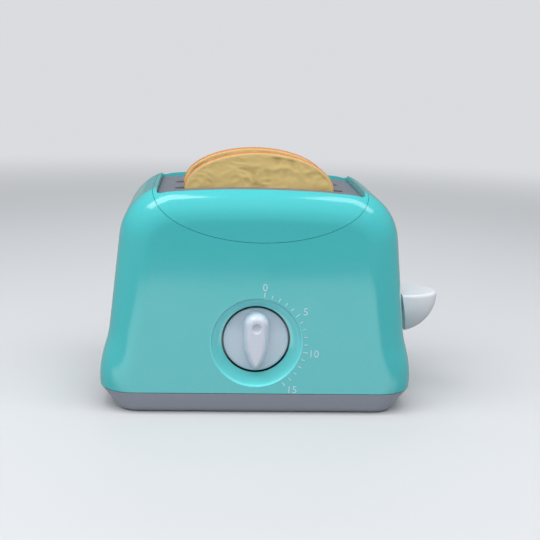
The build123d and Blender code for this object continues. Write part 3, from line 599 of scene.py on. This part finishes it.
def toastOutline(shape, halfWidth, bottom, top):
    # Half ellipse over straight sides with round bottom corners, resampled at even steps along its length.
    corner, shoulder = shape["corner"], top - shape["dome"]
    t = np.linspace(0, np.pi, shape["domeSteps"])
    dome = np.stack([halfWidth * np.cos(t), shoulder + shape["dome"] * np.sin(t)], -1)
    s = np.linspace(np.pi, 1.5 * np.pi, shape["cornerSteps"])
    left = np.stack([-halfWidth + corner + corner * np.cos(s), bottom + corner + corner * np.sin(s)], -1)
    s = np.linspace(1.5 * np.pi, 2 * np.pi, shape["cornerSteps"])
    right = np.stack([halfWidth - corner + corner * np.cos(s), bottom + corner + corner * np.sin(s)], -1)
    return evenSteps(np.concatenate([dome, left, right, dome[:1]]), shape["around"], closed=True)


def toastLoops(outline, middle, halfWidth, shape):
    # Rings of the outline moved inwards: the first few round the rim, the rest shrink to the middle.
    # Gives the rings, how far each lies in from the edge, and how far the rounding drops it.
    forward = np.roll(outline, -1, 0) - np.roll(outline, 1, 0)
    inward = np.stack([-forward[:, 1], forward[:, 0]], -1)
    inward /= np.linalg.norm(inward, axis=1)[:, None]
    rim, width, steps = shape["round"], shape["rimWidth"], shape["rimSteps"]
    arc = np.linspace(0, np.pi / 2, steps)
    inset = np.concatenate([rim * (1 - np.cos(arc)), np.linspace(rim, width, steps + 1)[1:]])
    drop = np.concatenate([rim * (1 - np.sin(arc)), np.zeros(steps)])
    rounded = outline[None] + inset[:, None, None] * inward[None]
    shrink = np.linspace(1, 0, shape["rings"])[1:-1]
    inner = middle + (rounded[-1] - middle)[None] * shrink[:, None, None]
    reach = np.concatenate([inset, width + halfWidth * (1 - shrink)])
    return np.concatenate([rounded, inner]), reach, np.concatenate([drop, np.zeros(len(shrink))])


def makeToast(name, node, shape, folds):
    # On each face y = centre -+ (half thickness - rounding - relief), inside the rim's band,
    # with relief = step - lump depth (lumps - 0.5).
    low, high = (np.array(corner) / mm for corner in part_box(node))
    halfWidth, halfThickness = (high[0] - low[0]) / 2, (high[1] - low[1]) / 2
    centreX, centreY, centreZ = (low + high) / 2
    outline = toastOutline(shape, halfWidth, low[2], high[2]) + np.array([centreX, 0.0])
    loops, reach, fall = toastLoops(outline, np.array([centreX, centreZ]), halfWidth, shape)
    band = smoothStep(np.clip((reach - shape["bandStart"]) / shape["bandWidth"], 0, 1))
    x, z = loops[..., 0], loops[..., 1]
    lumps = crumbLumps(x, z, shape["seeds"][node], folds)
    relief = band[:, None] * (shape["step"] - shape["lumpDepth"] * (lumps - 0.5))
    out = halfThickness - fall[:, None] - np.maximum(relief, -shape["proudest"])
    sides = []
    for side in (-1, 1):
        points = np.stack([x, centreY + side * out, z], -1).reshape(-1, 3)
        sides.append(np.concatenate([points, [[centreX, centreY + side * out[-1].mean(), centreZ]]]))
    count, rows = shape["around"], len(loops)
    hub = rows * count
    quads = gridFaces(rows, count, wrapColumns=True)
    fan = fanFaces(hub - count, count, hub)
    offset = hub + 1
    front = list(quads[:, ::-1]) + list(fan[:, ::-1])
    back = list(quads + offset) + list(fan + offset)
    ring = np.arange(count)
    wall = list(np.stack([ring, np.roll(ring, -1), np.roll(ring, -1) + offset, ring + offset], -1))
    heights = np.concatenate([lumps.ravel(), [0.5]])
    reaches = np.concatenate([np.repeat(reach, count), [halfWidth]])
    attributes = {"crumbHeight": np.tile(heights, 2), "rimReach": np.tile(reaches, 2)}
    return meshPiece(name, np.concatenate(sides) * mm, front + back + wall, toastPaint, attributes=attributes)


for name, node in (("frontSlice", "toast_front"), ("rearSlice", "toast_rear")):
    toastPiece = makeToast(name, node, toastShape, crumbFolds)
    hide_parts(node)
    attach(toastPiece, node)
print("stage 6: slices of toast made")

# The grip is the hull of circles on the upright axis, each given as height and radius.
# Edge, back and grip top are depths behind the front wall, so the grip stands in front of it.
knobShape = {
    "centre": (-1.6, 54.0), "front": -65.0, "radius": 23.2, "edge": 9.2, "crown": 2.5,
    "back": 12.8, "backRings": (0.25, 0.6), "bevel": 0.3, "rim": 0.8, "rimSteps": 6, "discSteps": 26,
    "grip": ((12.0, 9.5), (3.0, 9.6), (-5.0, 8.8), (-11.5, 7.0), (-16.2, 4.8)),
    "gripTop": -2.62, "gripBow": 0.25, "shoulder": 5.4, "half": 120, "gripSteps": 44,
    "dimple": 10.8, "dimpleRadius": 4.4, "dimpleLift": 2.6, "dimpleSoft": 0.35, "dimpleShift": 0.12,
}


def gripOutline(shape):
    # Right half of the hull, from the top to the bottom, and its mirror image.
    # Its outermost point in a direction n is z + r n of one circle, with that circle's centre as its foot.
    z, r = (np.array(column) for column in zip(*shape["grip"]))
    turn = np.linspace(0, np.pi, shape["half"] + 1)
    normal = np.stack([np.sin(turn), np.cos(turn)], -1)
    pick = np.argmax(z[None] * normal[:, 1:] + r[None], axis=1)
    edge = np.stack([r[pick] * normal[:, 0], z[pick] + r[pick] * normal[:, 1]], -1)
    even = evenSteps(np.column_stack([edge, z[pick]]), shape["half"] + 1)
    right, foot = even[:, :2], even[:, 2]
    loop = np.concatenate([right, right[-2:0:-1] * [-1, 1]])
    return loop, np.concatenate([foot, foot[-2:0:-1]])


def discRings(loop, shape):
    # From the back's hub over the bevel and the rounded rim to the grip's outline on the crowned disc.
    # Depth of the disc = edge - crown (1 - (r / radius)^2).
    count = len(loop)
    heading = np.arctan2(loop[:, 0], loop[:, 1])
    circle = shape["radius"] * np.stack([np.sin(heading), np.cos(heading)], -1)
    radius, rim, edge, back, bevel = (shape[key] for key in ("radius", "rim", "edge", "back", "bevel"))
    rings = [(circle * k, np.full(count, back)) for k in (*shape["backRings"], 1 - bevel / radius)]
    rings += [(circle, np.full(count, depth)) for depth in (back - bevel, edge + rim)]
    for t in np.linspace(0, np.pi / 2, shape["rimSteps"])[1:]:
        inset, depth = rim * (1 - np.cos(t)), edge + rim * (1 - np.sin(t))
        rings.append((circle * (1 - inset / radius), np.full(count, depth)))
    start = rings[-1][0]
    for k in np.linspace(0, 1, shape["discSteps"])[1:]:
        flat = start + (loop - start) * k
        rings.append((flat, edge - shape["crown"] * (1 - (np.linalg.norm(flat, axis=1) / radius) ** 2)))
    return rings


def gripRings(loop, foot, base, shape):
    # Rise = sqrt(1 - (1 - q)^2), with q the share of the shoulder's width already passed.
    # The dimple is a ball cut in with a soft edge: max(d, b) ~ (d + b + sqrt((d - b)^2 + soft^2)) / 2.
    axis = np.stack([np.zeros(len(loop)), foot], -1)
    reach = np.linalg.norm(loop - axis, axis=1)
    top, ball, soft = shape["gripTop"], shape["dimpleRadius"], shape["dimpleSoft"]
    rings, lifts = [], []
    for k in (1 - np.cos(np.linspace(0, np.pi / 2, shape["gripSteps"])[1:])):
        flat = loop + (axis - loop) * k
        q = np.clip(reach * k / shape["shoulder"], 0, 1)
        rise = np.sqrt(1 - (1 - q) ** 2)
        depth = base + (top + shape["gripBow"] * (1 - k) - base) * rise
        off = np.linalg.norm(flat - [0, shape["dimple"]], axis=1)
        bowl = top + np.sqrt(np.maximum(ball ** 2 - off ** 2, 0)) - shape["dimpleLift"]
        cut = 0.5 * (depth + bowl + np.sqrt((depth - bowl) ** 2 + soft ** 2))
        rings.append((flat, cut - shape["dimpleShift"]))
        lifts.append(rise)
    return rings, lifts


def makeKnob(name, shape):
    # One grid joins the rings of the disc to those of the grip, y = front + depth, and a hub closes the back.
    loop, foot = gripOutline(shape)
    disc = discRings(loop, shape)
    grip, lifts = gripRings(loop, foot, disc[-1][1], shape)
    rings = disc + grip
    centreX, centreZ = shape["centre"]
    x = centreX + np.array([flat[:, 0] for flat, depth in rings])
    z = centreZ + np.array([flat[:, 1] for flat, depth in rings])
    y = shape["front"] + np.array([depth for flat, depth in rings])
    points = np.stack([x, y, z], -1).reshape(-1, 3)
    hub = len(points)
    points = np.concatenate([points, [[centreX, shape["front"] + shape["back"], centreZ]]])
    faces = list(gridFaces(len(rings), len(loop), wrapColumns=True)) + list(fanFaces(0, len(loop), hub))
    # The grip's rise, kept as gripLift, says where the knob's painted shade lies.
    lift = np.concatenate([np.zeros(len(disc) * len(loop)), np.array(lifts).ravel(), [0.0]])
    piece = meshPiece(name, points * mm, faces, finishes["knob_lilac"], attributes={"gripLift": lift})
    tidyMesh(piece)
    return piece


# Angles are in degrees clockwise from the top, and each number is given with its middle.
scaleShape = {
    "centre": (-2.0, 53.3), "front": -65.0, "firstAngle": 8.5, "step": 9.12, "count": 16, "longEvery": 5,
    "long": (34.2, 37.8), "short": (34.4, 37.1), "longWidth": 0.66, "shortWidth": 0.56,
    "ink": 0.05, "sunk": 0.08, "pillSteps": 24, "pillGrow": (1.0, 1.0, 0.86, 0.0), "pillShoulder": 0.7,
    "numberHeight": 5.2, "numberSteps": 6, "numberSpacing": 1.05,
    "numbers": {"0": (3.6, 94.3), "5": (32.5, 77.2), "10": (40.0, 46.4), "15": (25.1, 19.6)},
}


def makeTicks(shape):
    # A tick is a pill: a straight run capped by half circles, in rings that shrink towards its crown.
    index = np.arange(shape["count"])
    isLong = index % shape["longEvery"] == 0
    angle = np.radians(shape["firstAngle"] + shape["step"] * index)
    inner = np.where(isLong, shape["long"][0], shape["short"][0])
    outer = np.where(isLong, shape["long"][1], shape["short"][1])
    half = np.where(isLong, shape["longWidth"], shape["shortWidth"]) / 2
    t = np.linspace(0, 2 * np.pi, shape["pillSteps"], endpoint=False)
    grow = np.array(shape["pillGrow"])
    rise = np.array([-shape["sunk"], shape["pillShoulder"] * shape["ink"], shape["ink"], shape["ink"]])
    along = np.where(np.cos(t) > 0, (outer - half)[:, None], (inner + half)[:, None])
    middle = (inner + outer)[:, None] / 2
    u = middle[:, None] + ((along + half[:, None] * np.cos(t)) - middle)[:, None, :] * grow[None, :, None]
    v = (half[:, None] * np.sin(t))[:, None, :] * grow[None, :, None]
    s, c = np.sin(angle)[:, None, None], np.cos(angle)[:, None, None]
    x = shape["centre"][0] + u * s + v * c
    z = shape["centre"][1] + u * c - v * s
    y = shape["front"] - np.broadcast_to(rise[None, :, None], x.shape)
    points = np.stack([x, y, z], -1)
    quads = gridFaces(len(grow), len(t), wrapColumns=True)
    faces = []
    for tick in range(shape["count"]):
        base = tick * len(grow) * len(t)
        faces += list(quads[:, ::-1] + base)
        faces.append(list(base + np.arange(len(t))))
    piece = meshPiece("dialTicks", points.reshape(-1, 3) * mm, faces, scaleInk, smooth=False)
    tidyMesh(piece)
    return piece


def makeNumbers(shape):
    # Each number is laid in the front plane, scaled to one height about its own middle.
    verts, faces = [], []
    for value, (centreX, centreZ) in shape["numbers"].items():
        data = bpy.data.curves.new("number" + value, "FONT")
        data.body = value
        data.size = shape["numberHeight"]
        data.extrude = (shape["ink"] + shape["sunk"]) / 2
        data.resolution_u = shape["numberSteps"]
        data.space_character = shape["numberSpacing"]
        text = bpy.data.objects.new("number" + value, data)
        bpy.context.scene.collection.objects.link(text)
        bpy.context.view_layer.update()
        mesh = bpy.data.meshes.new_from_object(text.evaluated_get(bpy.context.evaluated_depsgraph_get()))
        flat = np.zeros(len(mesh.vertices) * 3, np.float32)
        mesh.vertices.foreach_get("co", flat)
        flat = flat.reshape(-1, 3).astype(float)
        flat[:, :2] -= (flat[:, :2].min(0) + flat[:, :2].max(0)) / 2
        flat[:, :2] *= shape["numberHeight"] / np.ptp(flat[:, 1])
        x, z = centreX + flat[:, 0], centreZ + flat[:, 1]
        y = shape["front"] - flat[:, 2] - (shape["ink"] - shape["sunk"]) / 2
        start = sum(len(block) for block in verts)
        verts.append(np.stack([x, y, z], -1))
        faces += [[start + i for i in polygon.vertices] for polygon in mesh.polygons]
        bpy.data.objects.remove(text)
        bpy.data.meshes.remove(mesh)
    piece = meshPiece("dialNumbers", np.concatenate(verts) * mm, faces, scaleInk, smooth=False)
    tidyMesh(piece)
    return piece


knobPiece = makeKnob("dialKnob", knobShape)
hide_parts("dial_knob")
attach(knobPiece, "dial")
for scalePiece in (makeTicks(scaleShape), makeNumbers(scaleShape)):
    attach(scalePiece, "housing")
print("stage 7: knob and printed scale made")

bpy.context.scene.view_settings.view_transform = "Standard"
